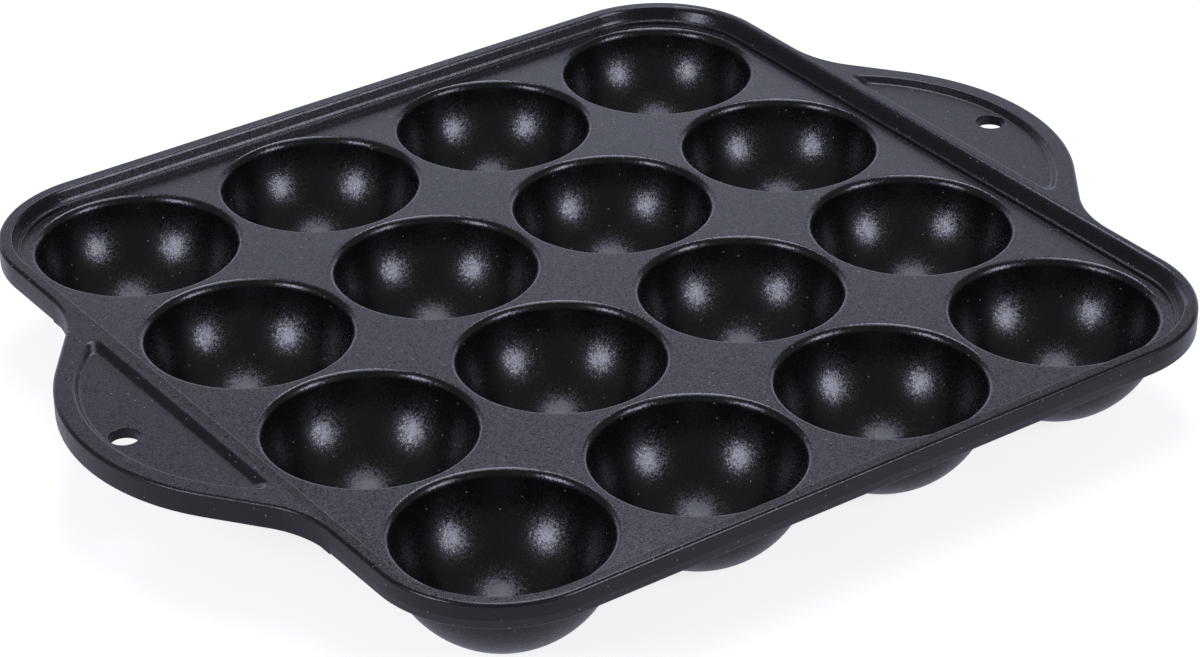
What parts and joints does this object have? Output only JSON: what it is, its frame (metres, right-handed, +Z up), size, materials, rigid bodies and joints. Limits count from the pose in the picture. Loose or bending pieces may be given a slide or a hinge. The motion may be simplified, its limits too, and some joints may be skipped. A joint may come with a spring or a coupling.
{
  "type": "takoyaki pan",
  "caption": "Square cast pan with a grid of open hemispherical cups, a raised stepped rim and two flat tab handles with hanging holes.",
  "frame": {"origin": "centre of the pan, on the surface that the feet of the cups stand on", "axes": "+X through both handles, +Y from the front row of cups to the back row, +Z up"},
  "size_m": [0.24, 0.1952, 0.0255],
  "materials": {
    "cup_coating": "glossy black non-stick coating on cast aluminium",
    "top_coating": "satin black non-stick coating with fine grain on cast aluminium"
  },
  "bodies": {
    "root": {"cup_r1c1": "cup_coating", "cup_r1c2": "cup_coating", "cup_r1c3": "cup_coating", "cup_r1c4": "cup_coating", "cup_r2c1": "cup_coating", "cup_r2c2": "cup_coating", "cup_r2c3": "cup_coating", "cup_r2c4": "cup_coating", "cup_r3c1": "cup_coating", "cup_r3c2": "cup_coating", "cup_r3c3": "cup_coating", "cup_r3c4": "cup_coating", "cup_r4c1": "cup_coating", "cup_r4c2": "cup_coating", "cup_r4c3": "cup_coating", "cup_r4c4": "cup_coating", "land_plate": "top_coating", "rim_front": "top_coating", "rim_back": "top_coating", "rim_left": "top_coating", "rim_right": "top_coating", "handle_left": "top_coating", "handle_right": "top_coating"}
  },
  "joints": []
}
